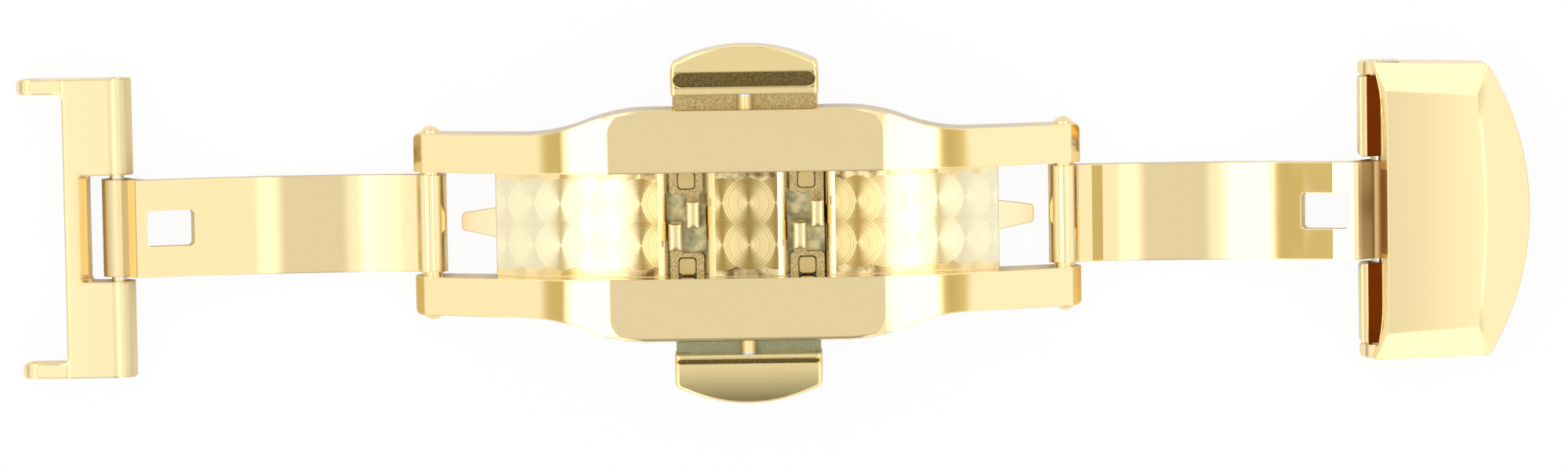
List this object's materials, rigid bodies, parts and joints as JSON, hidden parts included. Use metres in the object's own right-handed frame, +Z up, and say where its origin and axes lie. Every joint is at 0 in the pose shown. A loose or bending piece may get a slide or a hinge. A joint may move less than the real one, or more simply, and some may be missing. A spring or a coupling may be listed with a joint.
{
  "type": "butterfly clasp",
  "caption": "Folding watch-strap clasp: arched frame with push buttons, hooked latch, two folding blades, a spring-bar bracket and a strap cover with clamp flap.",
  "frame": {"origin": "on the supporting surface, under the middle of the open clasp's bounding box", "axes": "+X along the strap towards the strap cover, +Y across it towards the upper button, +Z up, away from the wrist"},
  "size_m": [0.1022, 0.0242, 0.0072],
  "materials": {
    "polished_gold_plate": "mirror-polished stainless steel with gold-coloured plating",
    "grey_steel": "fine-grained grey-green stainless steel",
    "tan_steel": "fine-grained tan plated steel",
    "satin_gold_spring": "satin gold-coloured spring steel",
    "spring_steel": "spring wire",
    "bare_steel": "ground steel pin",
    "pale_gold_pin": "turned steel pin, pale gold"
  },
  "bodies": {
    "frame": {"center_frame": "polished_gold_plate", "bottom_cover": "grey_steel", "kick_spring_left": "satin_gold_spring", "kick_spring_right": "satin_gold_spring", "hinge_pin_left": "polished_gold_plate", "hinge_pin_right": "polished_gold_plate", "button_spring_upper": "spring_steel", "button_spring_lower": "spring_steel"},
    "left_blade": {"blade_left": "polished_gold_plate"},
    "left_end": {"end_pin_left": "bare_steel"},
    "bracket": {"strap_bracket": "polished_gold_plate"},
    "right_blade": {"blade_right": "polished_gold_plate"},
    "right_end": {"end_pin_right": "bare_steel"},
    "cover": {"strap_cover": "polished_gold_plate"},
    "flap": {"clamp_flap": "polished_gold_plate", "strap_peg": "polished_gold_plate"},
    "upper_button": {"button_head_upper": "polished_gold_plate", "latch_slide_upper": "tan_steel", "guide_pin_upper": "pale_gold_pin"},
    "lower_button": {"button_head_lower": "polished_gold_plate", "latch_slide_lower": "tan_steel", "guide_pin_lower": "pale_gold_pin"}
  },
  "joints": [
    {"name": "left_fold", "type": "hinge", "parent": "frame", "child": "left_blade", "pos_m": [-0.0231, 0, 0.0011], "axis": [0, 1, 0], "range_deg": [-15, 159.81]},
    {"name": "left_level", "type": "hinge", "parent": "left_blade", "child": "left_end", "pos_m": [-0.04441, 0, 0.0011], "axis": [0, 1, 0], "range_deg": [-159.81, 15]},
    {"name": "bracket_swing", "type": "hinge", "parent": "left_end", "child": "bracket", "pos_m": [-0.04441, 0, 0.0011], "axis": [0, 1, 0], "range_deg": [-60, 60]},
    {"name": "right_fold", "type": "hinge", "parent": "frame", "child": "right_blade", "pos_m": [0.0198, 0, 0.0011], "axis": [0, -1, 0], "range_deg": [-15, 159.81]},
    {"name": "right_level", "type": "hinge", "parent": "right_blade", "child": "right_end", "pos_m": [0.04111, 0, 0.0011], "axis": [0, -1, 0], "range_deg": [-159.81, 15]},
    {"name": "cover_swing", "type": "hinge", "parent": "right_end", "child": "cover", "pos_m": [0.04111, 0, 0.0011], "axis": [0, -1, 0], "range_deg": [-60, 20]},
    {"name": "flap_open", "type": "hinge", "parent": "cover", "child": "flap", "pos_m": [0.04111, 0, 0.0011], "axis": [0, -1, 0], "range_deg": [-90, 0]},
    {"name": "upper_press", "type": "slide", "parent": "frame", "child": "upper_button", "axis": [0, -1, 0], "range_m": [0, 0.00075], "stiffness_N_per_m": 1500, "springref_m": -0.0004, "deforming": ["button_spring_upper"]},
    {"name": "lower_press", "type": "slide", "parent": "frame", "child": "lower_button", "axis": [0, 1, 0], "range_m": [0, 0.00075], "stiffness_N_per_m": 1500, "springref_m": -0.0004, "deforming": ["button_spring_lower"]}
  ],
  "couplings": [
    {"joint": "left_level", "follows": "left_fold", "ratio": -1},
    {"joint": "right_level", "follows": "right_fold", "ratio": -1}
  ]
}
